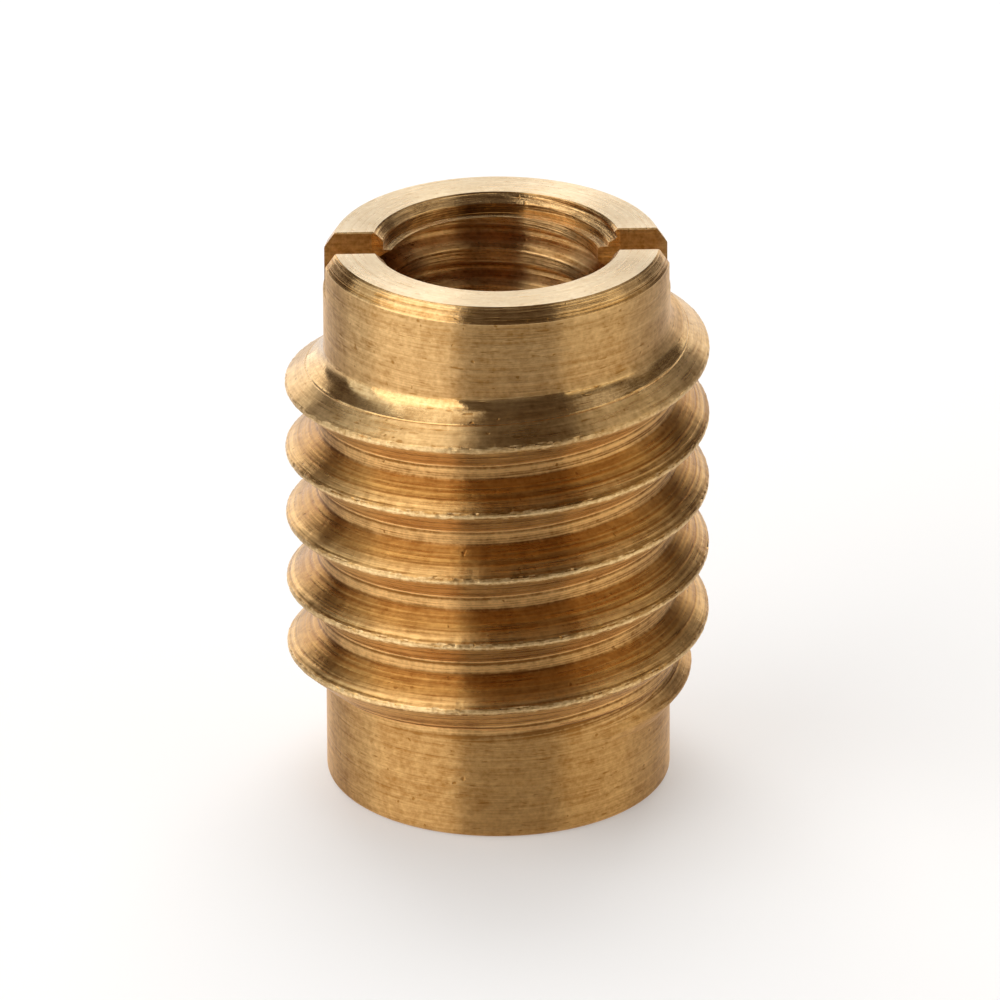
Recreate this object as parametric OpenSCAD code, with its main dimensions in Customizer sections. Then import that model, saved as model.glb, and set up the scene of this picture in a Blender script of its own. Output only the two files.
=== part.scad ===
// Slotted screw-in threaded insert, turned from brass bar.
// A coarse right-hand thread on the outside bites into wood or plastic, and a machine
// screw goes into the thread in the bore. The insert stands on its pilot end: the origin is
// on the axis at that end, +Z is the axis, and the driver slot in the top runs along X.
// All sizes are in millimetres.

/* [Body] */
// Length from the pilot end to the slotted end
overall_length = 14; // [12.5:0.5:24]
// Diameter of the plain pilot and of the plain collar
pilot_d = 8.4; // [7.5:0.1:8.7]
// Length of the pilot, up to the cone that leads into the thread
pilot_length = 2.9; // [2.4:0.1:5]
// Length of the collar, from the slotted end down to the top of the threaded core
collar_length = 3.2; // [3:0.05:5]
// Height of the chamfer round the slotted end
end_chamfer_h = 0.37; // [0.1:0.01:0.8]
// Width of that chamfer, measured across the end face
end_chamfer_w = 0.25; // [0.1:0.01:0.4]
// Radius on the outer edge of the pilot end
pilot_edge_radius = 0.2; // [0.05:0.05:0.4]

/* [Bore] */
// Diameter of the bore, the minor diameter of an M6 thread
bore_d = 5.1; // [4.2:0.1:5.6]
// Width of the flat ledge round the bore, where the thread begins, the same at both ends
ledge_w = 0.25; // [0.1:0.01:0.4]
// Height of the plain step that rises from the ledge
step_h = 0.25; // [0.1:0.01:0.6]
// Width of the countersink that opens the step, measured across the end face
countersink_w = 0.22; // [0.1:0.01:0.35]
// Full angle of the countersink
countersink_angle = 90; // [80:5:120]

/* [Bore thread] */
// Diameter at the bottom of the groove, the major diameter of the M6 thread
bore_thread_d = 6; // [5.7:0.1:6.3]
// Distance from one turn to the next, a right-hand thread with one start
bore_thread_pitch = 1; // [0.9:0.05:1.3]
// Width of the strip of bore wall that is left between two turns of the groove
bore_thread_crest_w = 0.355; // [0.25:0.005:0.45]
// Width of the flat at the bottom of the groove
bore_thread_root_w = 0.125; // [0.08:0.005:0.2]

/* [Driver slot] */
// Width of the slot across the slotted end
slot_w = 1.25; // [0.8:0.05:2]
// Depth of the slot below the slotted end
slot_depth = 1.2; // [0.8:0.05:2]

/* [Outer thread] */
// Diameter over the crests
thread_d = 10.3; // [9.7:0.1:12.2]
// Diameter at the root, between the turns
root_d = 8.75; // [8.75:0.05:9.3]
// Distance from one crest to the next, a right-hand thread with one start
thread_pitch = 1.73; // [1.65:0.01:2.4]
// How far down the pilot the first turn starts, measured from the end of the pilot
first_turn_drop = 0.77; // [0.4:0.01:1.1]
// Width of the flat along the crest
crest_w = 0.11; // [0.05:0.01:0.2]
// Width of the flat at the root, between one turn and the next
root_w = 0.34; // [0.28:0.01:0.6]
// Share of the rest of the pitch that the flank facing the pilot end takes
lower_flank_share = 0.53; // [0.45:0.01:0.6]
// Radius where a flank facing the slotted end meets the root
root_radius = 0.11; // [0.05:0.01:0.14]
// Radius where that flank of the last turn meets the collar
collar_radius = 0.8; // [0.3:0.05:0.85]
// Turn over which the thread rises from the pilot to its full height, in degrees
run_in_angle = 160; // [60:10:300]
// Turn over which the thread dies away under the collar, in degrees
run_out_angle = 110; // [45:5:150]

/* [Smoothness] */
// Flat steps in one turn of the outer thread
steps_per_turn = 48; // [36:12:72]
// Flat steps in one turn of the bore thread
bore_steps_per_turn = 36; // [24:12:48]

/* [Hidden] */

pilot_r = pilot_d / 2;
root_r = root_d / 2;
bore_r = bore_d / 2;
step_r = bore_r + ledge_w;
countersink_r = step_r + countersink_w;
countersink_depth = countersink_w / tan(countersink_angle / 2);
ledge_depth = countersink_depth + step_h;

// The groove in the bore has 60 degree flanks at these sizes. Its section starts a little
// inside the bore, and it runs past both ends of the insert by this much. On the -Y side it
// comes out through the ledge at the slotted end.
bore_thread_r = bore_thread_d / 2;
bore_flank_w = (bore_thread_pitch - bore_thread_crest_w - bore_thread_root_w) / 2;
bore_bite = 0.04;
bore_thread_over = 1;
ledge_z = overall_length - ledge_depth;
bore_thread_start = ledge_z - ceil((ledge_z + bore_thread_over) / bore_thread_pitch) * bore_thread_pitch;

// The threaded core stands this far out of the pilot and the collar, with 45 degree ends.
core_step = root_r - pilot_r;
core_top = overall_length - collar_length;

// The two flanks share what the crest and the root leave of the pitch, so turns never meet.
thread_depth = thread_d / 2 - root_r;
flanks_h = thread_pitch - crest_w - root_w;
lower_flank_h = flanks_h * lower_flank_share;
upper_flank_h = flanks_h - lower_flank_h;
upper_flank_angle = atan(upper_flank_h / thread_depth);

// The ridge is laid along a helix whose angle is 0 on the -Y side and grows to the right.
// Past the top of the core it stays at full height for full_past_top, then dies away.
thread_start = pilot_length - first_turn_drop;
full_past_top = 100;
ridge_end = 360 * (core_top - thread_start) / thread_pitch + full_past_top + run_out_angle;

// The foot of the ridge is sunk into the body, and where the ridge has no height it lies
// this far under the skin of the pilot or the collar. The lower flank runs on as far.
foot_sink = core_step + 0.4;
under_skin = core_step + 0.1;
// A fading ridge keeps this share of its width, so its section never closes up.
fading_width = 0.35;

// Steps round the radius at the foot of the upper flank, which ends just inside the body
// so that the two cross cleanly
foot_steps = 4;
foot_bite = 0.05;
// Turn over which the root radius grows to the collar radius
blend_angle = 90;

// 0 at the start of a ramp and 1 at its end, with no corner at either
function smooth_ramp(x) =
    let (u = min(max(x, 0), 1))
    u * u * (3 - 2 * u);

// Height of the ridge at an angle along the helix, as a share of its full height
function ridge_share(angle) =
    smooth_ramp(angle / run_in_angle) * smooth_ramp((ridge_end - angle) / run_out_angle);

// 0 where another turn lies above and 1 on the last turn, whose upper flank meets the collar
function collar_share(angle) =
    smooth_ramp((angle - (ridge_end - 360)) / blend_angle + 1 / 2);

// The curve at the foot of the upper flank, from the flank to the surface that it meets,
// as points of [distance out from the root, height above the middle of the crest]
function foot_curve(share) =
    let (radius = root_radius + share * (collar_radius - root_radius))
    let (centre_out = radius * (1 - foot_bite) - share * core_step)
    let (touch_out = centre_out - radius * sin(upper_flank_angle))
    let (touch_up = crest_w / 2 + (thread_depth - touch_out) * tan(upper_flank_angle))
    let (centre_up = touch_up + radius * cos(upper_flank_angle))
    [for (i = [0:foot_steps])
        let (a = 270 - upper_flank_angle - (90 - upper_flank_angle) * i / foot_steps)
        [centre_out + radius * cos(a), centre_up + radius * sin(a)]];

// The whole section of the ridge at full height, from its foot on the pilot side
function ridge_section(share) =
    let (curve = foot_curve(share))
    let (foot_down = crest_w / 2 + lower_flank_h * (1 + under_skin / thread_depth))
    concat(
        [[-foot_sink, -foot_down], [-under_skin, -foot_down]],
        [[thread_depth, -crest_w / 2], [thread_depth, crest_w / 2]],
        curve,
        [[-foot_sink, curve[foot_steps][1]]]);

// A section point moved in and narrowed as the ridge fades. The sunk foot stays where it is.
function faded(point, share) =
    let (out = point[0] <= -foot_sink ? point[0] : share * point[0] - (1 - share) * under_skin)
    [out, point[1] * (fading_width + (1 - fading_width) * share)];

// The section of the groove in the bore, as points of [radius, height above its middle]
function groove_section() =
    let (inner_r = bore_r - bore_bite)
    let (slope = bore_flank_w / (bore_thread_r - bore_r))
    let (root = bore_thread_root_w / 2, mouth = root + (bore_thread_r - inner_r) * slope)
    [[inner_r, -mouth], [bore_thread_r, -root], [bore_thread_r, root], [inner_r, mouth]];

// A section point of [radius, height] set at an angle round the axis and raised
function on_helix(point, angle, raised) =
    [point[0] * sin(angle), -point[0] * cos(angle), raised + point[1]];

// The solid between the sections, each a closed outline set on the helix
module swept(sections) {
    n = len(sections[0]);
    last = (len(sections) - 1) * n;
    sides = [for (here = [0:n:last - n], j = [0:n - 1])
        let (next = here + n, k = (j + 1) % n)
        each [[here + j, here + k, next + k], [here + j, next + k, next + j]]];
    start_cap = [for (j = [n - 1:-1:0]) j];
    end_cap = [for (j = [0:n - 1]) last + j];
    polyhedron([for (s = sections) each s], concat(sides, [start_cap, end_cap]), convexity = 10);
}

// The outer thread: its section, swept from the pilot to the collar
module outer_thread() {
    steps = ceil(steps_per_turn * ridge_end / 360);
    swept([for (i = [0:steps])
        let (angle = ridge_end * i / steps, raised = thread_start + thread_pitch * angle / 360)
        let (share = ridge_share(angle))
        [for (p = ridge_section(collar_share(angle)))
            on_helix([root_r, 0] + faded(p, share), angle, raised)]]);
}

// The groove that a tap cuts in the bore, swept from below the insert to above it
module bore_thread() {
    rise = overall_length + bore_thread_over - bore_thread_start;
    steps = ceil(bore_steps_per_turn * rise / bore_thread_pitch);
    swept([for (i = [0:steps])
        let (angle = 360 * i / bore_steps_per_turn)
        let (raised = bore_thread_start + bore_thread_pitch * angle / 360)
        [for (p = groove_section()) on_helix(p, angle, raised)]]);
}

// The turned bar: pilot, threaded core and collar, with the bore and the step and the
// countersink at both of its mouths
module turned_bar() {
    pilot_edge = [for (a = [0:15:90])
        [pilot_r - pilot_edge_radius * (1 - sin(a)), pilot_edge_radius * (1 - cos(a))]];
    rotate_extrude($fn = 96)
        polygon(concat(
            [[bore_r, ledge_depth], [step_r, ledge_depth]],
            [[step_r, countersink_depth], [countersink_r, 0]],
            pilot_edge,
            [[pilot_r, pilot_length], [root_r, pilot_length + core_step]],
            [[root_r, core_top], [pilot_r, core_top + core_step]],
            [[pilot_r, overall_length - end_chamfer_h]],
            [[pilot_r - end_chamfer_w, overall_length], [countersink_r, overall_length]],
            [[step_r, overall_length - countersink_depth]],
            [[step_r, overall_length - ledge_depth], [bore_r, overall_length - ledge_depth]]));
}

// The cut for the driver, right across the slotted end
module driver_slot() {
    length = pilot_d + 2;
    over = 1;
    translate([-length / 2, -slot_w / 2, overall_length - slot_depth])
        cube([length, slot_w, slot_depth + over]);
}

module insert_body() {
    color("#c79a4b")
        union() {
            difference() {
                turned_bar();
                driver_slot();
                bore_thread();
            }
            outer_thread();
        }
}

insert_body();
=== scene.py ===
# %% [markdown]
# # A slotted brass insert
# The object is a threaded insert: a short piece of brass bar with a coarse thread outside,
# a fine machine thread inside, and a slot for the driver. It is turned as one piece, so the
# model is one closed mesh too. The fixed frame from CAD gives its size and place. This first
# cell loads the frame.

# %% load the frame
import math

import bmesh
import bpy
from mathutils import Matrix, Vector, noise


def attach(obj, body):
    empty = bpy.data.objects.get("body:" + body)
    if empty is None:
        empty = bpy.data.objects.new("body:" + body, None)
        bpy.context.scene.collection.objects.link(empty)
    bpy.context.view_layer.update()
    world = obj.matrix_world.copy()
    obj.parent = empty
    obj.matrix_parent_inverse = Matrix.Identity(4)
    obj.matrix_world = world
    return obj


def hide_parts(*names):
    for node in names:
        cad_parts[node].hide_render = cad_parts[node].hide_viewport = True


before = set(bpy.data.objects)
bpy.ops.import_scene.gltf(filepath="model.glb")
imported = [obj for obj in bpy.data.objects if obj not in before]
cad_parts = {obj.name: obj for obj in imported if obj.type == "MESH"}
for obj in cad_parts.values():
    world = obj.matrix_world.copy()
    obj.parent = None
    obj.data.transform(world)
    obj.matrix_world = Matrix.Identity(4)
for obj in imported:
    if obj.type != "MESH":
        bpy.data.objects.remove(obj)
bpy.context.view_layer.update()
scene = bpy.context.scene
MM = 0.001  # meshes are shaped in millimetres and scaled to metres at the end
MERGE = 0.0005  # vertices closer than this, in mm, become one

# %% [markdown]
# ## The sizes of the turned part
# A turner works from a short list of diameters and lengths. The same list is kept here, with
# the values of the CAD part, because the picture must show the same part. Only the radius
# under the collar is tighter than in the CAD part, so that it runs into the collar without
# an edge. Heights are measured from the pilot end, which stands on the floor.

# %% sizes
LENGTH = 14.0  # over all
PILOT_R = 4.2  # plain pilot and plain collar
PILOT_TOP = 2.9  # where the threaded core begins
CORE_TOP = LENGTH - 3.2  # where it ends, under the collar
ROOT_R = 4.375  # threaded core, between the turns
CREST_R = 5.15  # over the crests
CHAMFER_H, CHAMFER_W = 0.37, 0.25  # round the slotted end
PILOT_EDGE = 0.2  # radius at the foot of the pilot
BORE_R = 2.55  # over the crests of the machine thread
LEDGE_W, STEP_H, COUNTERSINK_W = 0.25, 0.25, 0.22  # the mouth of the bore, at both ends
STEP_R = BORE_R + LEDGE_W
MOUTH_R = STEP_R + COUNTERSINK_W
SLOT_W, SLOT_DEPTH = 1.25, 1.2
EDGE_BREAK = 0.03  # on every edge that a tool leaves
print("mouth of the bore:", round(2 * MOUTH_R, 2), "mm across")

# %% sizes of the outer thread
PITCH = 1.73
THREAD_START = PILOT_TOP - 0.77  # height of the crest where the helix begins, at angle 0
CREST_W, ROOT_W = 0.11, 0.34
LOWER_SHARE = 0.53  # of the flanks' height, for the flank that faces the pilot end
ROOT_RADIUS, COLLAR_RADIUS = 0.11, 0.55  # at the foot of the upper flank, on the last turn too
RUN_IN, RUN_OUT, FULL_PAST_TOP = 160, 110, 100  # degrees along the helix

CORE_STEP = ROOT_R - PILOT_R
DEPTH = CREST_R - ROOT_R
FLANKS_H = PITCH - CREST_W - ROOT_W
LOWER_H = FLANKS_H * LOWER_SHARE
UPPER_SLOPE = math.atan((FLANKS_H - LOWER_H) / DEPTH)
RIDGE_END = 360 * (CORE_TOP - THREAD_START) / PITCH + FULL_PAST_TOP + RUN_OUT
UNDER_SKIN = CORE_STEP + 0.1  # how deep a faded ridge lies under the threaded core
print("thread depth", round(DEPTH, 3), "upper flank", round(math.degrees(UPPER_SLOPE), 1), "deg")

# %% [markdown]
# ## The section of the thread
# A screw thread is one section carried round a helix. The section runs from the middle of
# one root to the middle of the next: root, lower flank, crest, upper flank, a small radius,
# root. At both ends the ridge sinks into the bar, and under the collar the small radius
# grows into a wide one, so the section is a function of the angle along the helix. A
# modelling modifier can't do that, but a function can. Two shares from 0 to 1 drive it.

# %% what changes along the helix
STEPS = 432  # columns in one turn
COLLAR_BLEND = 90  # degrees over which the radius at the foot grows


def ramp(x):
    """A soft step from 0 to 1."""
    u = min(max(x, 0.0), 1.0)
    return u * u * (3 - 2 * u)


def ridge_share(angle):
    """How far the ridge stands out of the bar."""
    return ramp(angle / RUN_IN) * ramp((RIDGE_END - angle) / RUN_OUT)


def collar_share(angle):
    """How far the radius at the foot has grown into the wide one under the collar."""
    return ramp((angle - (RIDGE_END - 360)) / COLLAR_BLEND + 0.5)


def bar_radius(z):
    """The turned bar under the ridge, with 45 degree steps at the ends of the core."""
    below = min(max(z - PILOT_TOP, 0.0), CORE_STEP)
    above = min(max(z - CORE_TOP, 0.0), CORE_STEP)
    return PILOT_R + below - above


print("the ridge rises:", [round(ridge_share(angle), 2) for angle in range(0, RUN_IN + 1, 40)])

# %% [markdown]
# A point of the section is a distance out from the root and a height up from the middle of
# the crest. The radius at the foot of the upper flank is an arc that touches the flank and
# ends upright, on the bar.


# %% the radius at the foot
FOOT_POINTS = 7


def foot_curve(share):
    """[out from the root, up from the crest] round the foot of the upper flank."""
    radius = ROOT_RADIUS + share * (COLLAR_RADIUS - ROOT_RADIUS)
    centre_out = radius * (0.95 + 0.045 * share) - share * CORE_STEP
    touch_out = centre_out - radius * math.sin(UPPER_SLOPE)
    touch_up = CREST_W / 2 + (DEPTH - touch_out) * math.tan(UPPER_SLOPE)
    centre_up = touch_up + radius * math.cos(UPPER_SLOPE)
    turn = math.pi / 2 - UPPER_SLOPE
    angles = [1.5 * math.pi - UPPER_SLOPE - turn * i / FOOT_POINTS for i in range(FOOT_POINTS + 1)]
    return [(centre_out + radius * math.cos(a), centre_up + radius * math.sin(a)) for a in angles]


print("height of the foot:", [round(foot_curve(share)[-1][1], 2) for share in (0, 0.5, 1)])

# %% [markdown]
# The two flanks are straight, and the crest between them is narrow, with a small rounding at
# its edges. On the last turn the tool left a fine double line across the upper flank, which
# is a few points a little above and below it.

# %% the flanks and the crest
ROUNDING = 0.022  # at the edges of the crest
CROWN_IN, CROWN_DOWN = 0.004, 0.012  # of the point just inside each edge
FLANK_POINTS = 1  # along the lower flank, between the crest and its foot
MARK_IN = 0.46  # from the crest in to the double line
TOOL_MARK = ((0.0, 0.0), (0.025, 0.005), (0.05, -0.006), (0.075, 0.005), (0.11, 0.0))


def between(a, b, count):
    """Evenly spaced points between two points."""
    return [tuple(p + (q - p) * i / (count + 1) for p, q in zip(a, b)) for i in range(1, count + 1)]


def on_upper_flank(inward, proud):
    """A point on the upper flank, a distance in from the crest, and a little above it."""
    slope = UPPER_SLOPE
    up = CREST_W / 2 + inward * math.tan(slope)
    return DEPTH - inward + proud * math.sin(slope), up + proud * math.cos(slope)


def half_sections(share):
    """From the middle of the crest down the lower flank, and from there up the upper one."""
    foot_down = CREST_W / 2 + LOWER_H * (1 + UNDER_SKIN / DEPTH)
    low_corner = (DEPTH - ROUNDING, -CREST_W / 2 - ROUNDING * LOWER_H / DEPTH)
    low_foot = (-UNDER_SKIN, -foot_down)
    low = [(DEPTH - CROWN_IN, -CREST_W / 2 + CROWN_DOWN), low_corner]
    low_guard = (DEPTH - 2 * ROUNDING, -CREST_W / 2 - 2 * ROUNDING * LOWER_H / DEPTH)
    low += [low_guard] + between(low_guard, low_foot, FLANK_POINTS) + [low_foot]
    high_corner = (DEPTH - ROUNDING, CREST_W / 2 + ROUNDING * math.tan(UPPER_SLOPE))
    high = [(DEPTH - CROWN_IN, CREST_W / 2 - CROWN_DOWN), high_corner]
    high += [on_upper_flank(2 * ROUNDING, 0)]
    high += [on_upper_flank(MARK_IN + step, height * share) for step, height in TOOL_MARK]
    return low, high + foot_curve(share)


ROWS_LOW = len(half_sections(0)[0])
ROWS_HIGH = len(half_sections(0)[1])
LAND_ROWS = 2  # from the middle of the root to the ridge, on each side
ROWS = 2 * LAND_ROWS + ROWS_LOW + 1 + ROWS_HIGH
print("rows in the section:", ROWS)

# %% [markdown]
# Where the ridge dips under the bar, the part of the section that shows ends on the bar. The
# points past that place are gathered on it, so the foot of the ridge is a clean line. Where
# the wide radius begins, they stay at their own heights on the bar instead, because the meet
# moves up and down there too fast for the columns to follow.

# %% the part of the section that shows
FADING_WIDTH = 0.35  # how wide a ridge is when it first shows, as a share of its full width


def faded_radius(out, share):
    """The radius of a point of the section when only a share of the ridge stands out."""
    return ROOT_R + share * out - (1 - share) * UNDER_SKIN


def meeting_height(above, below):
    """The height at which a line between two (radius, z) points meets the bar."""
    (r0, z0), (r1, z1) = above, below
    low, high = 0.0, 1.0
    for _ in range(16):
        mid = (low + high) / 2
        if r0 + (r1 - r0) * mid > bar_radius(z0 + (z1 - z0) * mid):
            low = mid
        else:
            high = mid
    return z0 + (z1 - z0) * high


def shown(points, share, crest_z, gathered):
    """The faded half section, as (radius, z, 1 on the bare bar), stopped where it meets the bar."""
    placed = []
    for out, up in points:
        r = faded_radius(out, share)
        z = crest_z + up * (FADING_WIDTH + (1 - FADING_WIDTH) * share)
        if r > bar_radius(z):
            placed.append((r, z, 0.0))
        elif placed and not gathered:
            placed.append((bar_radius(z), z, 1.0))
        else:
            above = placed[-1][:2] if placed else (faded_radius(DEPTH, share), crest_z)
            z_hit = meeting_height(above, (r, z))
            return placed + [(bar_radius(z_hit), z_hit, 0.0)] * (len(points) - len(placed))
    return placed


print("a ridge that begins:", [round(p[0], 2) for p in shown(half_sections(0)[1], 0.4, CORE_TOP - 2, True)])

# %% [markdown]
# The whole section adds the root on both sides, up to its middle, where the next turn takes
# over. The wide radius under the collar needs more room, so it pushes that middle up.

# %% the section as a function of the angle
HALF_LAND = (foot_curve(0)[-1][1] + PITCH - CREST_W / 2 - LOWER_H) / 2  # crest to middle of root
ROOM = 0.15  # of bare collar above the wide radius


def boundary_lift(angle):
    """How far the wide radius under the collar pushes up the middle of the root."""
    share = collar_share(angle) * ridge_share(angle)
    return share * (foot_curve(1)[-1][1] + ROOM - HALF_LAND)


def section_at(angle):
    """All rows of the section at an angle along the helix: (radius, z, 1 on the bare bar)."""
    share = ridge_share(angle)
    crest_z = THREAD_START + PITCH * angle / 360
    bottom = crest_z + HALF_LAND - PITCH + boundary_lift(angle - 360)
    top = crest_z + HALF_LAND + boundary_lift(angle)
    crest_r = faded_radius(DEPTH, share)
    low, high = half_sections(collar_share(angle))
    if crest_r <= bar_radius(crest_z):
        crest_r = bar_radius(crest_z)
        low, high = [[(crest_r, crest_z, 1.0)] * len(half) for half in (low, high)]
    else:
        low = shown(low, share, crest_z, True)
        high = shown(high, share, crest_z, collar_share(angle) == 0)
    low[-1] = low[-1][:2] + (1.0,)
    high[-1] = high[-1][:2] + (1.0,)
    below = [bottom + (low[-1][1] - bottom) * i / LAND_ROWS for i in range(LAND_ROWS)]
    above = [top + (high[-1][1] - top) * i / LAND_ROWS for i in range(LAND_ROWS)]
    rows = [(bar_radius(z), z, 1.0) for z in below] + low[::-1]
    rows += [(crest_r, crest_z, 0.0)] + high
    return rows + [(bar_radius(z), z, 1.0) for z in above[::-1]]


print("section at full height:", [(round(r, 2), round(z, 2)) for r, z, _ in section_at(720)][::5])

# %% [markdown]
# ## Cutting the outer thread
# `bmesh.ops.spin` with a lift at each step is the screw-cutting lathe of this script: it
# turns a line of vertices into a helical strip. Each vertex keeps its row in a layer, so that
# the rows can be moved out to the section afterwards.


# %% a helical strip
def only_verts(geometry):
    """The vertices among what an operator returns."""
    return [g for g in geometry if isinstance(g, bmesh.types.BMVert)]


def spun_strip(rows, start, pitch, steps, turns):
    """A helical strip of one pitch, with the row of each vertex in a layer. One turn is spun,
    and copies of it, each a pitch higher, make the rest."""
    bm = bmesh.new()
    row_layer = bm.verts.layers.float.new("row")
    bare_layer = bm.verts.layers.float.new("bare")
    verts = []
    for row in range(rows):
        verts.append(bm.verts.new((0, -1, pitch * row / (rows - 1))))
        verts[-1][row_layer] = row
        verts[-1][bare_layer] = 1
    edges = [bm.edges.new(pair) for pair in zip(verts, verts[1:])]
    bmesh.ops.rotate(bm, verts=verts, cent=(0, 0, 0), matrix=Matrix.Rotation(math.radians(start), 3, "Z"))
    bmesh.ops.spin(
        bm,
        geom=verts + edges,
        cent=(0, 0, 0),
        axis=(0, 0, 1),
        dvec=(0, 0, pitch / steps),
        angle=2 * math.pi,
        steps=steps,
    )
    one_turn = bm.verts[:] + bm.edges[:] + bm.faces[:]
    for turn in range(1, turns):
        copy = bmesh.ops.duplicate(bm, geom=one_turn)["geom"]
        bmesh.ops.translate(bm, verts=only_verts(copy), vec=(0, 0, pitch * turn))
    return bm, row_layer, bare_layer


def shape_strip(bm, row_layer, rows, start, pitch, steps, section):
    """Moves each vertex to its place in the section at its own angle."""
    cache = {}
    for v in bm.verts:
        row = round(v[row_layer])
        step = round((v.co.z - pitch * row / (rows - 1)) / pitch * steps)
        if step not in cache:
            cache[step] = section(start + step * 360 / steps)
        r, z, bare, nudge_in, nudge_up = cache[step][row]
        a = math.radians(start + step * 360 / steps)
        r -= nudge_in
        v.co = (r * math.sin(a), -r * math.cos(a), z + nudge_up)
        yield v, bare


print("one turn:", STEPS, "columns of", ROWS, "rows")

# %% [markdown]
# A real tool tears the brass a little at the crest. So the crest rows get a small, uneven
# burr, which is what catches the light along each turn.

# %% the outer thread
SKIN_START = -330  # degrees, so that the strip begins below the thread
SKIN_TURNS = 8
BURR_ROWS = range(LAND_ROWS + ROWS_LOW - 2, LAND_ROWS + ROWS_LOW + 3)


def burr(angle, row):
    """Torn metal at the crest: how far a crest point is pushed in, and up or down."""
    along = math.radians(angle) * CREST_R
    tear = noise.noise(Vector((along * 3.1, row * 0.5, 4.0)))
    fine = noise.noise(Vector((along * 7.7, row * 1.3, 9.0)))
    chip = max(0.0, noise.noise(Vector((along * 0.9, 3.0, 1.0))) - 0.3)
    inward = 0.018 * abs(tear + fine) + 0.12 * chip * chip
    return inward, 0.022 * tear + 0.030 * fine


def worn_section(angle):
    """The section with its burr, which fades where the ridge does."""
    rows = []
    torn = ramp((ridge_share(angle) - 0.15) / 0.3)
    for row, (r, z, bare) in enumerate(section_at(angle)):
        inward, upward = burr(angle, row) if row in BURR_ROWS else (0.0, 0.0)
        rows.append((r, z, bare, inward * torn, upward * torn))
    return rows


skin, row_layer, bare_layer = spun_strip(ROWS, SKIN_START, PITCH, STEPS, SKIN_TURNS)
for v, bare in shape_strip(skin, row_layer, ROWS, SKIN_START, PITCH, STEPS, worn_section):
    v[bare_layer] = bare
bmesh.ops.remove_doubles(skin, verts=skin.verts, dist=MERGE)
print("thread strip:", len(skin.verts), "vertices")

# %% [markdown]
# The strip ends in two ramps. Level cuts with `bisect_plane` square them off, and two pairs
# of cuts at the ends of the core give the 45 degree steps their exact edges.

# %% level cuts
SKIN_BOTTOM, SKIN_TOP = 1.45, LENGTH - 1.4


def level_cut(bm, z, clear_above=False, clear_below=False):
    """Cuts all faces at a height, and returns the new vertices. It can clear one side."""
    cut = bmesh.ops.bisect_plane(
        bm,
        geom=bm.verts[:] + bm.edges[:] + bm.faces[:],
        dist=1e-5,
        plane_co=(0, 0, z),
        plane_no=(0, 0, 1),
        clear_outer=clear_above,
        clear_inner=clear_below,
    )
    return only_verts(cut["geom_cut"])


level_cut(skin, SKIN_TOP, clear_above=True)
level_cut(skin, SKIN_BOTTOM, clear_below=True)
for z in (PILOT_TOP, PILOT_TOP + CORE_STEP, CORE_TOP, CORE_TOP + CORE_STEP):
    for v in level_cut(skin, z):
        if v[bare_layer] > 0.999:
            scale = bar_radius(z) / math.hypot(v.co.x, v.co.y)
            v.co.x, v.co.y = v.co.x * scale, v.co.y * scale


def rim(bm, z):
    """The open boundary edges at a height."""
    return [e for e in bm.edges if e.is_boundary and all(abs(v.co.z - z) < 1e-3 for v in e.verts)]


print("open rims:", len(rim(skin, SKIN_BOTTOM)), len(rim(skin, SKIN_TOP)))

# %% [markdown]
# ## Pilot, collar and end faces
# These are plain turned surfaces, so the open rims are extruded along the axis and scaled
# from one diameter to the next, as a turner would work along the bar. Edges that a tool
# leaves are never quite sharp: each gets a break of a few hundredths of a millimetre.


# %% turn a profile
def turn_on(bm, edges, radius, z, from_radius):
    """Extrudes a rim to another radius and height, and returns the new rim."""
    out = bmesh.ops.extrude_edge_only(bm, edges=edges)["geom"]
    verts = only_verts(out)
    share = radius / from_radius
    bmesh.ops.scale(bm, verts=verts, vec=(share, share, 1))
    bmesh.ops.translate(bm, verts=verts, vec=(0, 0, z - verts[0].co.z))
    return [g for g in out if isinstance(g, bmesh.types.BMEdge) and g.is_boundary]


def turn_profile(bm, edges, profile, radius):
    """Turns on along (radius, z) points, and closes the last rim with a face."""
    for next_radius, z in profile:
        edges = turn_on(bm, edges, next_radius, z, radius)
        radius = next_radius
    bmesh.ops.contextual_create(bm, geom=edges)


def broken(corner, before, after, size=EDGE_BREAK):
    """A corner of a turned profile, replaced by three points on a small radius."""
    c, a, b = Vector(corner), Vector(before), Vector(after)
    p, q = c + (a - c).normalized() * size, c + (b - c).normalized() * size
    return [tuple(p), tuple((p + q) / 2 * 0.4 + c * 0.6), tuple(q)]


print("a broken corner:", [tuple(round(v, 3) for v in p) for p in broken((1, 1), (1, 0), (0, 1))])

# %% both plain ends
wall_top, face_edge = (PILOT_R, LENGTH - CHAMFER_H), (PILOT_R - CHAMFER_W, LENGTH)
top_profile = broken(wall_top, (PILOT_R, SKIN_TOP), face_edge)
top_profile += broken(face_edge, wall_top, (0, LENGTH))
turn_profile(skin, rim(skin, SKIN_TOP), top_profile, PILOT_R)

bottom_profile = [
    (PILOT_R - PILOT_EDGE * (1 - math.cos(a)), PILOT_EDGE * (1 - math.sin(a)))
    for a in (math.radians(d) for d in range(0, 91, 15))
]
turn_profile(skin, rim(skin, SKIN_BOTTOM), bottom_profile, PILOT_R)
bmesh.ops.recalc_face_normals(skin, faces=skin.faces)
loose = [e for e in skin.edges if not e.is_manifold]
print("bar:", len(skin.faces), "faces,", len(loose), "open edges")

# %% [markdown]
# ## The machine thread in the bore
# The bore is tapped M6: a 60 degree thread of 1 mm pitch. A tap is the negative of that
# thread, so a closed tap is made the same way as the outer thread, and is later subtracted.
# Where it passes through the mouths it leaves the thread's open ends by itself. It comes out
# through the upper ledge on the near side, so the ledge is whole on the far side.

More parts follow.
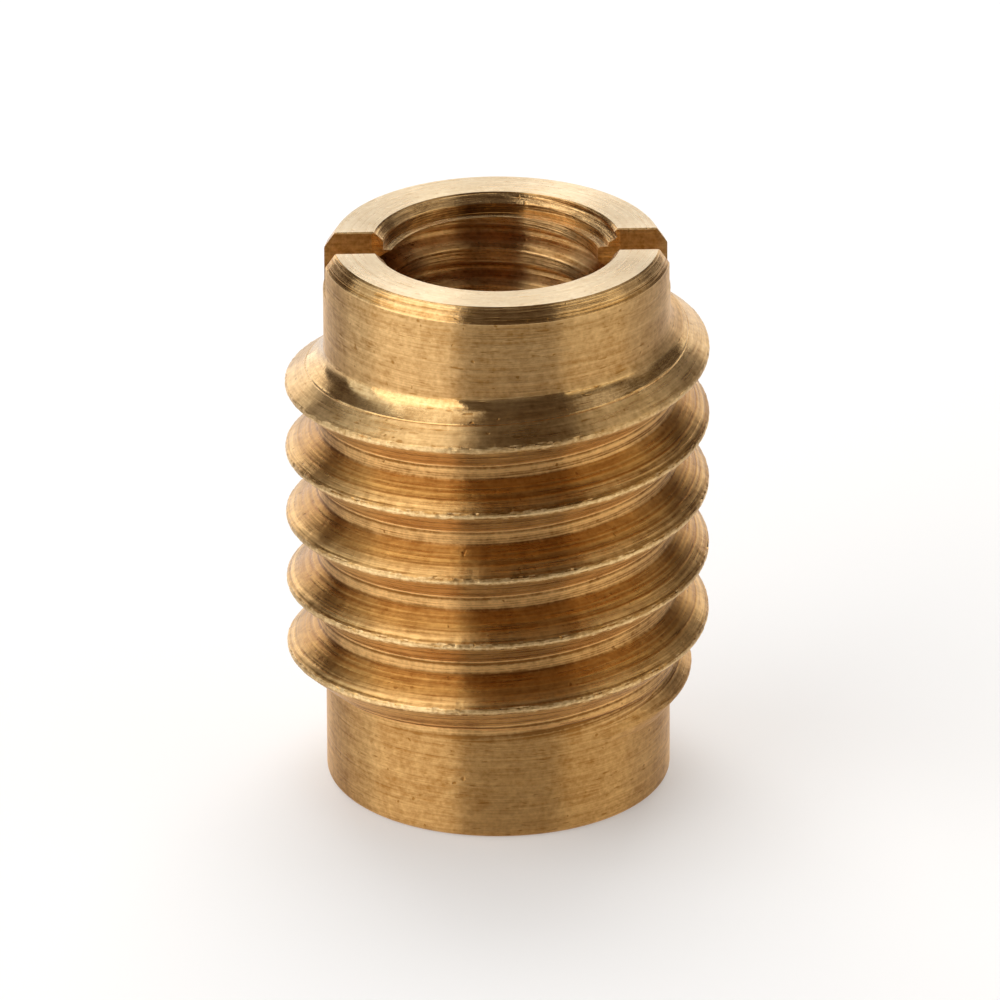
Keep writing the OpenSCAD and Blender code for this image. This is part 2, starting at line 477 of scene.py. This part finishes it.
# %% the section of the tap
TAP_PITCH = 1.0
TAP_R = 3.0
ROOT_FLAT = 0.0625  # half the flat at the bottom of the groove
FLANK_SLOPE = math.tan(math.radians(60))


def groove_radius(offset):
    """The radius of the tap at a height from the middle of its groove."""
    return min(TAP_R, TAP_R - (abs(offset) - ROOT_FLAT) * FLANK_SLOPE)


def tap_rows():
    """One pitch of the tap, as (radius, z) points with the groove in the middle."""
    crest = ROOT_FLAT + (TAP_R - BORE_R) / FLANK_SLOPE
    half = [
        (TAP_R, 0.0),
        (TAP_R - 0.008, 0.045),
        (groove_radius(0.085), 0.085),
        (groove_radius(0.2), 0.2),
        (groove_radius(crest - 0.028), crest - 0.028),
        (BORE_R + 0.012, crest - 0.002),
        (BORE_R, crest + 0.028),
        (BORE_R, TAP_PITCH / 2),
    ]
    return [(r, -z) for r, z in half[:0:-1]] + half


TAP_ROWS = tap_rows()
print("rows in the tap:", len(TAP_ROWS))

# %% a closed tap
TAP_STEPS = 120
TAP_START = -540  # degrees, so that the tap begins below the part
TAP_TURNS = 18
TAP_FRONT = LENGTH - COUNTERSINK_W - STEP_H  # on the -Y side the groove comes out of the ledge
TAP_OVER = 0.3  # past both ends of the part


def tap_section(angle):
    """The rows of the tap at an angle, each with a slight tremble of the tool."""
    middle = TAP_FRONT - 14 * TAP_PITCH + TAP_PITCH * angle / 360
    rows = []
    for row, (r, z) in enumerate(TAP_ROWS):
        tremble = 0.006 * noise.noise(Vector((math.radians(angle) * 6, row * 2.1, 0.5)))
        tremble *= 0 < row < len(TAP_ROWS) - 1
        rows.append((r, middle + z, 0.0, 0.0, tremble))
    return rows


tap, row_layer, _ = spun_strip(len(TAP_ROWS), TAP_START, TAP_PITCH, TAP_STEPS, TAP_TURNS)
for _ in shape_strip(tap, row_layer, len(TAP_ROWS), TAP_START, TAP_PITCH, TAP_STEPS, tap_section):
    pass
bmesh.ops.remove_doubles(tap, verts=tap.verts, dist=MERGE)
level_cut(tap, LENGTH + TAP_OVER, clear_above=True)
level_cut(tap, -TAP_OVER, clear_below=True)
for z in (LENGTH + TAP_OVER, -TAP_OVER):
    bmesh.ops.contextual_create(tap, geom=rim(tap, z))
bmesh.ops.recalc_face_normals(tap, faces=tap.faces)
print("tap:", len(tap.faces), "faces,", len([e for e in tap.edges if not e.is_manifold]), "open edges")

# %% [markdown]
# ## Mouth cutters and slot cutter
# Each mouth of the bore has a countersink, a short plain step and a flat ledge. A lathe tool
# cuts them in one go, so the cutter is one profile, spun once round.


# %% mouth cutters
def spun_solid(profile, steps=STEPS):
    """A closed solid of revolution from (radius, z) points that start and end on the axis."""
    bm = bmesh.new()
    verts = [bm.verts.new((0, -r, z)) for r, z in profile]
    edges = [bm.edges.new(pair) for pair in zip(verts, verts[1:])]
    bmesh.ops.spin(
        bm,
        geom=verts + edges,
        cent=(0, 0, 0),
        axis=(0, 0, 1),
        angle=2 * math.pi,
        steps=steps,
        use_merge=True,
    )
    bmesh.ops.remove_doubles(bm, verts=bm.verts, dist=MERGE)
    bmesh.ops.recalc_face_normals(bm, faces=bm.faces)
    return bm


MOUTH_BREAK = 0.02
MOUTH_OVER = 0.5  # how far a mouth cutter stands out of the end
step_top = (STEP_R, LENGTH - COUNTERSINK_W)
rim_edge = (MOUTH_R, LENGTH)
ledge_edge = (STEP_R, LENGTH - COUNTERSINK_W - STEP_H)
mouth_profile = [(0, ledge_edge[1]), ledge_edge]
mouth_profile += broken(step_top, ledge_edge, rim_edge, MOUTH_BREAK)
mouth_profile += broken(rim_edge, step_top, (MOUTH_R + 1, LENGTH), MOUTH_BREAK)
mouth_profile += [(MOUTH_R + 0.05, LENGTH + MOUTH_OVER), (0, LENGTH + MOUTH_OVER)]
upper_mouth = spun_solid(mouth_profile)
lower_mouth = upper_mouth.copy()
bmesh.ops.scale(lower_mouth, verts=lower_mouth.verts, vec=(1, 1, -1))
bmesh.ops.translate(lower_mouth, verts=lower_mouth.verts, vec=(0, 0, LENGTH))
bmesh.ops.recalc_face_normals(lower_mouth, faces=lower_mouth.faces)
print("mouth cutters:", len(upper_mouth.faces), "and", len(lower_mouth.faces), "faces")

# %% [markdown]
# The driver slot is milled, so its cutter is a block that reaches past both sides of the
# collar, with slanted lips that break the slot's upper edges.

# %% slot cutter
slot = bmesh.new()
corners = [
    (-SLOT_W / 2, LENGTH - SLOT_DEPTH),
    (SLOT_W / 2, LENGTH - SLOT_DEPTH),
    (SLOT_W / 2, LENGTH - EDGE_BREAK),
    (SLOT_W / 2 + 1, LENGTH + 1 - EDGE_BREAK),
    (-SLOT_W / 2 - 1, LENGTH + 1 - EDGE_BREAK),
    (-SLOT_W / 2, LENGTH - EDGE_BREAK),
]
face = slot.faces.new([slot.verts.new((-PILOT_R - 1, y, z)) for y, z in corners])
run = bmesh.ops.extrude_face_region(slot, geom=[face])["geom"]
bmesh.ops.translate(slot, verts=only_verts(run), vec=(2 * PILOT_R + 2, 0, 0))
bmesh.ops.recalc_face_normals(slot, faces=slot.faces)
print("slot cutter:", len(slot.faces), "faces")

# %% [markdown]
# ## Cutting the bar
# Boolean modifiers do the milling and tapping. They are applied at once, so the finished
# piece is one plain closed mesh with nothing live on it.


# %% subtract the cutters
def as_object(bm, name):
    """A mesh object in metres from a bmesh in millimetres."""
    bmesh.ops.scale(bm, verts=bm.verts, vec=(MM, MM, MM))
    mesh = bpy.data.meshes.new(name)
    bm.to_mesh(mesh)
    bm.free()
    obj = bpy.data.objects.new(name, mesh)
    scene.collection.objects.link(obj)
    return obj


insert = as_object(skin, "insert")
cutters = [as_object(bm, "cutter") for bm in (slot, upper_mouth, lower_mouth, tap)]
for cutter in cutters:
    cut = insert.modifiers.new("cut", "BOOLEAN")
    cut.operation, cut.solver, cut.object = "DIFFERENCE", "MANIFOLD", cutter
cut_mesh = bpy.data.meshes.new_from_object(insert.evaluated_get(bpy.context.evaluated_depsgraph_get()))
insert.modifiers.clear()
insert.data = cut_mesh
cut_mesh.name = "insert"
for cutter in cutters:
    bpy.data.objects.remove(cutter)
print("cut bar:", len(cut_mesh.polygons), "faces")

# %% [markdown]
# A cut solid has to be closed, which a count of its open edges shows. Edges of more than 14
# degrees are kept sharp, and everything else is shaded smooth. Then the piece is tied to its
# body, and the CAD part is hidden.

# %% check the mesh and tie it to the frame
SHARP = math.radians(14)
check = bmesh.new()
check.from_mesh(cut_mesh)
print("insert:", len(check.faces), "faces", sum(len(f.verts) - 2 for f in check.faces), "triangles")
print("open edges:", len([e for e in check.edges if not e.is_manifold]))
print("volume in mm3:", round(check.calc_volume() / MM**3, 1))
check.free()
for polygon in cut_mesh.polygons:
    polygon.use_smooth = True
cut_mesh.set_sharp_from_angle(angle=SHARP)

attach(insert, "root")
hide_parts("insert_body")

# %% [markdown]
# ## A finish as arithmetic
# A procedural finish is a formula over the surface. The class below wraps a node socket so
# that such a formula can be written as plain Python: `1 - mask` or `lines * 0.4` each add a
# Math node. Every other node comes from one method, which takes its type, its settings and
# the values or links of its sockets.


# %% a socket that does sums
class Signal:
    """A number that varies over the surface."""

    def __init__(self, finish, socket):
        self.finish, self.socket = finish, socket

    def math(self, operation, *others):
        """A Math node on this number and others."""
        node = self.finish.add("ShaderNodeMath", {"operation": operation}, {})
        for socket, value in zip(node.inputs, (self, *others)):
            self.finish.put(socket, value)
        return Signal(self.finish, node.outputs[0])

    def __add__(self, other):
        return self.math("ADD", other)

    def __mul__(self, other):
        return self.math("MULTIPLY", other)

    def __sub__(self, other):
        return self.math("SUBTRACT", other)

    def __truediv__(self, other):
        return self.math("DIVIDE", other)

    def __rsub__(self, other):
        return self.math("MULTIPLY", -1) + other

    __radd__, __rmul__ = __add__, __mul__

    def between(self, low, high):
        """0 below low, 1 above high, and a soft step from one to the other."""
        sockets = {"Value": self, "From Min": low, "From Max": high}
        return self.finish.signal("ShaderNodeMapRange", {"interpolation_type": "SMOOTHSTEP"}, sockets)


print("reflected sums:", [name for name in vars(Signal) if name.startswith("__r")])


# %% a tree of nodes
class Finish:
    """A material, a world or a floor paint, and the nodes in it."""

    def __init__(self, owner):
        owner.use_nodes = True
        self.tree = owner.node_tree
        self.tree.nodes.clear()

    def put(self, socket, value):
        """Links a socket to a signal or to another socket, or sets it to a plain value."""
        if isinstance(value, Signal):
            value = value.socket
        if isinstance(value, bpy.types.NodeSocket):
            self.tree.links.new(value, socket)
        else:
            socket.default_value = value

    def add(self, kind, settings, sockets):
        """A node of a type, with its settings and the values or links of its sockets."""
        node = self.tree.nodes.new(kind)
        for name, value in settings.items():
            setattr(node, name, value)
        for name, value in sockets.items():
            self.put(node.inputs[name], value)
        return node

    def signal(self, kind, settings, sockets):
        """A new node's first output, ready for sums."""
        return Signal(self, self.add(kind, settings, sockets).outputs[0])

    def vector(self, x, y, z):
        """Three numbers as one vector."""
        return self.add("ShaderNodeCombineXYZ", {}, {"X": x, "Y": y, "Z": z}).outputs[0]

    def mix(self, kind, factor, a, b):
        """Colours ("RGBA") or vectors ("VECTOR"), from a to b."""
        first, second, result = {"RGBA": (6, 7, 2), "VECTOR": (4, 5, 1)}[kind]
        node = self.add("ShaderNodeMix", {"data_type": kind}, {0: factor, first: a, second: b})
        return node.outputs[result]


brass = bpy.data.materials.new("turned_brass")
turned = Finish(brass)
print("finish:", brass.name)

# %% [markdown]
# ## Where the tool has been
# Every surface of a turned part carries fine lines in the direction of the cut: rings on the
# plain parts, a helix on the threads. So the patterns below read the height, the distance
# from the axis and the angle round it. The angle goes in as a cosine and a sine, which have
# no seam, and on a thread the height is replaced by the place within one pitch.

# %% coordinates of a turned part
place = turned.add("ShaderNodeTexCoord", {}, {}).outputs["Object"]
place = turned.add("ShaderNodeVectorMath", {"operation": "SCALE"}, {0: place, "Scale": 1 / MM}).outputs[0]
split = turned.add("ShaderNodeSeparateXYZ", {}, {0: place})
x, y, z = (Signal(turned, split.outputs[i]) for i in range(3))
radius = (x * x + y * y).math("SQRT")
across, along = x / radius, y / radius  # sine and minus cosine of the angle round the axis
angle = x.math("ARCTAN2", y * -1)
normal = turned.add("ShaderNodeNewGeometry", {}, {}).outputs["Normal"]
upward = Signal(turned, turned.add("ShaderNodeSeparateXYZ", {}, {0: normal}).outputs[2])
print("nodes so far:", len(turned.tree.nodes))

# %% [markdown]
# Masks of 0 and 1 with soft edges tell the surfaces apart: outside or in the bore, on the
# thread or on a plain part, in the slot. They read only the place and the way a face looks.

# %% where things are
INNER_SIDE = 3.6  # further in is the bore with its mouths, further out the outside
outside = radius.between(INNER_SIDE, INNER_SIDE + 0.1)
above_start = z.between(THREAD_START + 0.2, THREAD_START + 0.7)
threaded = above_start * (1 - z.between(CORE_TOP + 0.35, CORE_TOP + 0.9))
below_mouth = 1 - z.between(TAP_FRONT - 0.01, TAP_FRONT + 0.01)
in_bore = (1 - radius.between(TAP_R + 0.01, TAP_R + 0.05)) * below_mouth
in_slot = 1 - y.math("ABSOLUTE").between(SLOT_W / 2 + 0.005, SLOT_W / 2 + 0.015)
in_slot = in_slot * z.between(LENGTH - SLOT_DEPTH - 0.02, LENGTH - SLOT_DEPTH - 0.01)
print("nodes so far:", len(turned.tree.nodes))

# %% [markdown]
# Noise that is drawn out round the axis gives the lines. On a thread they follow the helix:
# the height is wound up with the angle, so that one pitch is one turn of a circle, and the
# pattern has no seam there either. Long lines hardly end, short ones are a tenth as long.


# %% tool lines
TURN_R = 4.5  # the radius at which a line has its stated length


def winding(pitch, width):
    """The place within one pitch of a thread, as a point on a circle with no seam."""
    phase = z * (2 * math.pi / pitch) - angle
    ring = pitch / width / (2 * math.pi)
    return phase.math("COSINE") * ring, phase.math("SINE") * ring


def tool_lines(width, run, detail, drift):
    """Noise drawn out round the axis: lines of a width in mm, about run mm long."""
    arc = TURN_R / run
    outer, inner = winding(PITCH, width), winding(TAP_PITCH, width)
    helical = (threaded * outside).math("GREATER_THAN", 0.5)
    rings = turned.vector(across * arc, along * arc, z / width)
    thread = turned.vector(across * arc + z * drift, along * arc, outer[0])
    bore = turned.vector(across * arc + z * drift, along * arc, inner[0])
    milled = turned.vector(x / run, z / width, 0.0)
    where = turned.mix("VECTOR", helical, rings, thread)
    where = turned.mix("VECTOR", in_bore, where, bore)
    where = turned.mix("VECTOR", in_slot, where, milled)
    w = radius / width * (1 - helical) + outer[1] * helical
    w = w * (1 - in_bore) + inner[1] * in_bore
    w = w * (1 - in_slot)
    return turned.signal(
        "ShaderNodeTexNoise",
        {"noise_dimensions": "4D"},
        {"Vector": where, "W": w, "Scale": 1.0, "Detail": detail, "Roughness": 0.6},
    )


long_lines = tool_lines(0.065, 24.0, 1.0, 0.05)
broad_lines = tool_lines(0.10, 2.6, 2.0, 0.9)
fine_lines = tool_lines(0.035, 1.2, 2.0, 1.3)
flecks = tool_lines(0.09, 0.16, 2.0, 1.3)
scratches = tool_lines(0.06, 0.35, 0.0, 0.7).between(0.72, 0.80) * 0.7
print("nodes so far:", len(turned.tree.nodes))

# %% [markdown]
# Over the lines lie marks with no direction: clouds where the metal has dulled, a finer
# grain, and small pits. Pits are the few places that are close to a scattered point.


# %% clouds, grain and pits
def spots(scale, detail):
    """Even noise, with a scale in spots per mm."""
    sockets = {"Vector": place, "Scale": scale, "Detail": detail, "Roughness": 0.6}
    return turned.signal("ShaderNodeTexNoise", {}, sockets)


def dots(scale):
    """The distance to scattered points, which is small in a few ragged places."""
    shift = turned.add("ShaderNodeTexNoise", {}, {"Vector": place, "Scale": 7.0, "Detail": 1.0})
    ragged = turned.mix("VECTOR", 0.12, place, shift.outputs["Color"])
    return turned.signal("ShaderNodeTexVoronoi", {}, {"Vector": ragged, "Scale": scale})


clouds = spots(0.8, 4.0)
mottle = spots(3.0, 2.0)
grain = spots(9.0, 2.0)
pits = 1 - dots(2.6).between(0.05, 0.11)
pits = pits.math("MAXIMUM", 1 - dots(1.1).between(0.03, 0.07))
print("nodes so far:", len(turned.tree.nodes))

# %% [markdown]
# ## Brass
# Bare brass is a metal with a warm colour of its own. Painted shade makes it deeper where the
# flanks of the thread face each other and the light bounces twice, and painted light makes it
# paler on the last turn, which has no ridge above it. The last turn, with its wide radius, was
# cut in one clean pass and is the smoothest.
# First come masks for all these parts. A height that is wound back with the angle tells the
# last turn from the one below it.

# %% parts of the surface
TOP_CREST = THREAD_START + PITCH * int(RIDGE_END / 360)
past_crest = (z - angle * (PITCH / (2 * math.pi))).between(TOP_CREST - 0.12, TOP_CREST - 0.06)
under_collar = 1 - z.between(CORE_TOP + 0.9, CORE_TOP + 1.0)
last_turn = outside * past_crest * angle.between(-3.1, -2.2) * under_collar
on_thread = threaded * outside * (1 - last_turn)
upper_flank = on_thread * upward.between(0.35, 0.6)
lower_flank = on_thread * (upward * -1).between(0.35, 0.6)
flank_rim = upper_flank * radius.between(CREST_R - 0.42, CREST_R - 0.12)
land = on_thread * (1 - radius.between(ROOT_R + 0.02, ROOT_R + 0.06))
crest = radius.between(CREST_R - 0.16, CREST_R - 0.12) * (1 - upward.math("ABSOLUTE").between(0.4, 0.6))
faced = upward.math("ABSOLUTE").between(0.95, 0.99)
end_face = faced * (z.between(LENGTH - 0.02, LENGTH - 0.008) + (1 - z.between(0.008, 0.02)))
wide_radius = last_turn * radius.between(PILOT_R + 0.002, PILOT_R + 0.02) * (1 - crest)
# Painted shade: the pilot is darker and redder, as if it showed the warm shadow on the floor in front.
pilot_painted_shade = outside * (1 - z.between(PILOT_TOP - 0.3, PILOT_TOP))
chamfer = outside * z.between(LENGTH - CHAMFER_H - 0.02, LENGTH - CHAMFER_H) * (1 - faced) * (1 - in_slot)
in_mouth = 1 - radius.between(MOUTH_R + 0.03, MOUTH_R + 0.08)
mouth = in_mouth * z.between(TAP_FRONT + 0.01, TAP_FRONT + 0.02) * (1 - faced)
mouth_cone = mouth * upward.between(0.3, 0.6)
turned_rings = chamfer + mouth + in_bore
plain = 1 - on_thread
print("nodes so far:", len(turned.tree.nodes))

# %% [markdown]
# Each part of the surface has a pair of colours, one for the bottom of a tool line and one
# for its top, and a tone made of all the noises runs from one to the other. The pairs are
# laid over each other in turn, so a later one wins.

# %% two colours for each part of the surface
dark, light = (0.38, 0.19, 0.05, 1), (0.82, 0.53, 0.235, 1)
for mask, deep, pale in (
    # painted shade: the flanks of the thread get deeper, redder pairs where they face each other and the
    # light bounces twice; the rim near each crest gets a paler pair, painted light
    (upper_flank, (0.35, 0.155, 0.034, 1), (0.68, 0.38, 0.11, 1)),
    (flank_rim, (0.36, 0.18, 0.048, 1), (0.84, 0.52, 0.20, 1)),
    (lower_flank, (0.28, 0.125, 0.030, 1), (0.70, 0.40, 0.135, 1)),
    (land, (0.27, 0.12, 0.028, 1), (0.86, 0.52, 0.20, 1)),
    # painted light: the wide radius of the last turn is paler, because no ridge above it shades it
    (wide_radius, (0.42, 0.22, 0.065, 1), (0.90, 0.61, 0.28, 1)),
    # painted shade on the pilot: the floor's shadow as the pilot reflects it
    (pilot_painted_shade, (0.38, 0.175, 0.040, 1), (0.80, 0.49, 0.19, 1)),
    # painted highlight: the crests get a pale pair, a bright line along each turn
    (crest, (0.48, 0.27, 0.095, 1), (1.0, 0.72, 0.36, 1)),
    (in_bore, (0.38, 0.18, 0.045, 1), (0.88, 0.56, 0.24, 1)),
    # painted shade: the wall of each mouth gets a very dark pair; its cone, which faces up, gets a pale
    # pair, painted light
    (mouth, (0.14, 0.06, 0.015, 1), (0.62, 0.36, 0.135, 1)),
    (mouth_cone, (0.40, 0.21, 0.07, 1), (0.90, 0.60, 0.28, 1)),
    (in_slot, (0.62, 0.36, 0.13, 1), (1.0, 0.70, 0.34, 1)),
    (faced, (0.60, 0.38, 0.15, 1), (0.88, 0.62, 0.32, 1)),
    (end_face, (0.74, 0.54, 0.31, 1), (0.95, 0.79, 0.55, 1)),
):
    dark, light = turned.mix("RGBA", mask, dark, deep), turned.mix("RGBA", mask, light, pale)

long_weight = 0.4 + on_thread * 1.3 + land * 1.8 + lower_flank * 0.8 + flank_rim * 0.9 + turned_rings * 1.6
fine_weight = 0.9 + flank_rim * 0.9 - upper_flank * 0.2
tone = 0.5 + (long_lines - 0.5) * long_weight + (broad_lines - 0.5) * 0.8
tone = tone + (fine_lines - 0.5) * fine_weight + (flecks - 0.5) * 0.6
tone = tone + (grain - 0.5) * (0.8 + crest + in_slot * 1.2)
tone = tone + (clouds - 0.5) * 0.8 + (mottle - 0.5) * 0.7 - pits * 0.6 - scratches * plain * 0.6
colour = turned.mix("RGBA", tone, dark, light)
print("nodes so far:", len(turned.tree.nodes))

# %% [markdown]
# ## Gloss and relief
# The tool lines hardly blur a reflection along their own direction and blur it widely across
# it, so the gloss is anisotropic: on a turned part every highlight is drawn out along the
# axis. The same noises go into a Bump node as a relief of a few thousandths of a millimetre.
# The wide radius under the collar is glossier and calmer, most of all near the collar.

# %% gloss and relief
outer_half = radius.between(CREST_R - 0.56, CREST_R - 0.46)
relief_share = 1 - wide_radius * (0.9 - outer_half * 0.5)
gloss = 0.42 - (upper_flank + lower_flank + in_bore + faced) * 0.12 - (chamfer + mouth) * 0.2
uneven = (clouds - 0.5) * 0.15 + (fine_lines - 0.5) * 0.25
gloss = gloss - wide_radius * (0.25 - outer_half * 0.12) + uneven * relief_share
relief = (long_lines - 0.5) * (0.014 + on_thread * 0.02 + turned_rings * 0.016) + (broad_lines - 0.5) * 0.014
relief = (relief + (fine_lines - 0.5) * 0.007 + (flecks - 0.5) * 0.004) * relief_share
relief = relief + (grain - 0.5) * (0.0012 + crest * 0.004) - pits * 0.004 - scratches * plain * 0.003
bump = turned.add("ShaderNodeBump", {}, {"Height": relief, "Strength": 1.0, "Distance": MM})
print("nodes so far:", len(turned.tree.nodes))

# %% the shader
ALONG_AXIS = 0.25  # a quarter turn of the anisotropy
metal = turned.add(
    "ShaderNodeBsdfPrincipled",
    {},
    {
        "Base Color": colour,
        "Metallic": 1.0,
        "Roughness": gloss,
        "Anisotropic": 1.0,
        "Anisotropic Rotation": ALONG_AXIS,
        "Normal": bump.outputs[0],
    },
)
turned.add("ShaderNodeOutputMaterial", {}, {"Surface": metal.outputs[0]})
insert.data.materials.clear()
insert.data.materials.append(brass)
print("brass nodes:", len(turned.tree.nodes))

# %% [markdown]
# ## The table
# The insert stands on a plain white sweep. Its paint is diffuse, so that it takes the shadow,
# and where the camera or a reflection looks at it a little plain white is added, so that the
# open floor comes out white without more light on the brass. A Mix Shader switches that white
# on by the kind of ray.

# %% floor
SWEEP_HALF = 600  # half the side, in mm
sweep = bmesh.new()
bmesh.ops.create_grid(sweep, x_segments=1, y_segments=1, size=SWEEP_HALF)
floor = as_object(sweep, "floor")
paint = bpy.data.materials.new("sweep_paint")
white = Finish(paint)
rays = white.add("ShaderNodeLightPath", {}, {})
looked_at = Signal(white, rays.outputs["Is Camera Ray"])
looked_at = looked_at + Signal(white, rays.outputs["Is Glossy Ray"])
looked_at = (looked_at + Signal(white, rays.outputs["Is Transmission Ray"])).math("MINIMUM", 1.0)
matt = white.add("ShaderNodeBsdfDiffuse", {}, {"Color": (0.62, 0.62, 0.62, 1)})
glow = white.add("ShaderNodeEmission", {}, {"Color": (1, 0.98, 0.96, 1), "Strength": 0.32})
both = white.add("ShaderNodeAddShader", {}, {0: matt.outputs[0], 1: glow.outputs[0]})
seen = white.add("ShaderNodeMixShader", {}, {0: looked_at, 1: matt.outputs[0], 2: both.outputs[0]})
white.add("ShaderNodeOutputMaterial", {}, {"Surface": seen.outputs[0]})
floor.data.materials.append(paint)
print("floor:", 2 * SWEEP_HALF, "mm square")

# %% [markdown]
# ## Studio light
# Bare metal shows its surroundings, so the light is a matter of shapes. A large soft box
# stands at the front left and a low one at the front right, each with a panel that leans in
# over the part. The gap between the two draws the dark band down the middle of each turn.
# Dim sheets stand at both sides and a row of sheets behind, and the dark gaps beside them
# draw the streaks on the flanks and at the outline. The last lamp is not reflected in the
# brass: it comes from behind and above, and lays a soft shadow in front of the part.


# %% lights
def soft_box(name, place_mm, facing, size_mm, level, tint=(1, 1, 1)):
    """An area light that shines in a direction, with a level of 1 for white."""
    light = bpy.data.lights.new(name, "AREA")
    light.color = tint
    light.shape, light.size, light.size_y = "RECTANGLE", size_mm[0] * MM, size_mm[1] * MM
    light.energy = level * math.pi * light.size * light.size_y
    lamp = bpy.data.objects.new(name, light)
    lamp.location = Vector(place_mm) * MM
    lamp.rotation_euler = Vector(facing).to_track_quat("-Z", "Y").to_euler()
    scene.collection.objects.link(lamp)
    return lamp


soft_box("key_box", (-172, -103, 120), (172, 103, 0), (236, 235), 2.1)
soft_box("key_top", (-125, -30, 262), (125, 30, -262), (185, 115), 1.3)
soft_box("left_sheet", (-196, 40, 140), (196, -40, 0), (84, 275), 1.0, (0.90, 1.0, 1.12))
soft_box("right_box", (181, -84, 68), (-181, 84, 0), (187, 130), 1.12, (1.05, 1.0, 0.84))
soft_box("right_top", (150, 0, 262), (-150, 0, -262), (120, 100), 0.45)
soft_box("right_sheet", (196, 40, 100), (-196, -40, 0), (84, 190), 0.4)
soft_box("back_sheet_low", (0, 200, 70), (0, -1, 0), (120, 134), 0.9)
soft_box("back_sheet_left", (-91, 178, 62), (91, -178, 0), (84, 122), 1.35)
soft_box("back_sheet_right", (91, 178, 62), (-91, -178, 0), (84, 122), 1.0)
soft_box("back_sheet_high", (0, 240, 314), (0, -240, -307), (300, 260), 1.75)
shadow_lamp = soft_box("shadow_lamp", (0, 130, 305), (0, -130, -305), (260, 260), 2.6)
shadow_lamp.visible_glossy = False

# %% [markdown]
# The rest of the room is a dim, warm grey, which is what the dark gaps reflect.

# %% world
world = bpy.data.worlds.new("studio")
scene.world = world
room = Finish(world)
walls = room.add("ShaderNodeBackground", {}, {"Color": (0.11, 0.09, 0.075, 1), "Strength": 1.0})
room.add("ShaderNodeOutputWorld", {}, {"Surface": walls.outputs[0]})
print("world:", world.name)

# %% [markdown]
# ## Camera
# A small part like this is shown with a long lens from a little above: 25 degrees down, with
# hardly any perspective. The camera is placed from that angle, its distance and its aim.

# %% camera
TILT, YAW, ROLL = math.radians(24.54), math.radians(-1.7), math.radians(-0.2128)
DISTANCE = 350
AIM = Vector((0.0604, 0, 7.125))
FOCAL_PX, FRAME_PX = 14387, 1000  # the lens, in pixels of a square frame
SENSOR = 36.0
ahead = Vector((0, math.cos(TILT), -math.sin(TILT)))
up = Vector((0, math.sin(TILT), math.cos(TILT)))
side = Vector((1, 0, 0))
rolled_side = side * math.cos(ROLL) + up * math.sin(ROLL)
rolled_up = up * math.cos(ROLL) - side * math.sin(ROLL)
axes = Matrix((rolled_side, rolled_up, -ahead)).transposed().to_4x4()
spot = Matrix.Translation((AIM - ahead * DISTANCE) * MM)
lens = bpy.data.cameras.new("camera")
lens.sensor_width, lens.sensor_fit = SENSOR, "HORIZONTAL"
lens.lens = FOCAL_PX / FRAME_PX * SENSOR
lens.clip_start, lens.clip_end = 0.01, 10
camera = bpy.data.objects.new("camera", lens)
camera.matrix_world = Matrix.Rotation(YAW, 4, "Z") @ spot @ axes
scene.collection.objects.link(camera)
scene.camera = camera
scene.view_settings.view_transform = "Standard"
print("camera at mm:", [round(v / MM, 1) for v in camera.matrix_world.translation])
